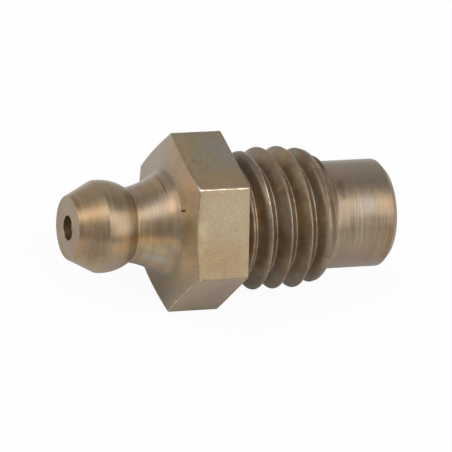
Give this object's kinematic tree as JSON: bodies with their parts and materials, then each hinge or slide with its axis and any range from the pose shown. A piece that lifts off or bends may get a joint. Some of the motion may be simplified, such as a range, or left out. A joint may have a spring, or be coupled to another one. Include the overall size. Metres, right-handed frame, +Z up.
{
  "type": "grease nipple",
  "caption": "Straight grease nipple: button head with a grease inlet, waisted neck, hexagon, coarse right-hand outside thread and plain tail, with a sprung check ball inside",
  "frame": {"origin": "on the nipple's axis, in the hexagon's seat face, the one beside the thread", "axes": "+X along the axis from the coupler head to the plain tail, +Z up with one flat of the hexagon facing straight down, +Y to complete a right-handed frame"},
  "size_m": [0.0236, 0.0126, 0.011],
  "materials": {
    "plated_steel": "turned steel, zinc plated with a dull yellow-brown passivation",
    "ball_steel": "polished ball steel",
    "spring_steel": "drawn spring wire"
  },
  "bodies": {
    "body": {"body": "plated_steel", "check_spring": "spring_steel"},
    "check_ball": {"check_ball": "ball_steel"}
  },
  "joints": [
    {"name": "check_ball_lift", "type": "slide", "parent": "body", "child": "check_ball", "axis": [1, 0, 0], "range_m": [0, 0.0012], "stiffness_N_per_m": 300, "springref_m": -0.001, "deforming": ["check_spring"]}
  ]
}
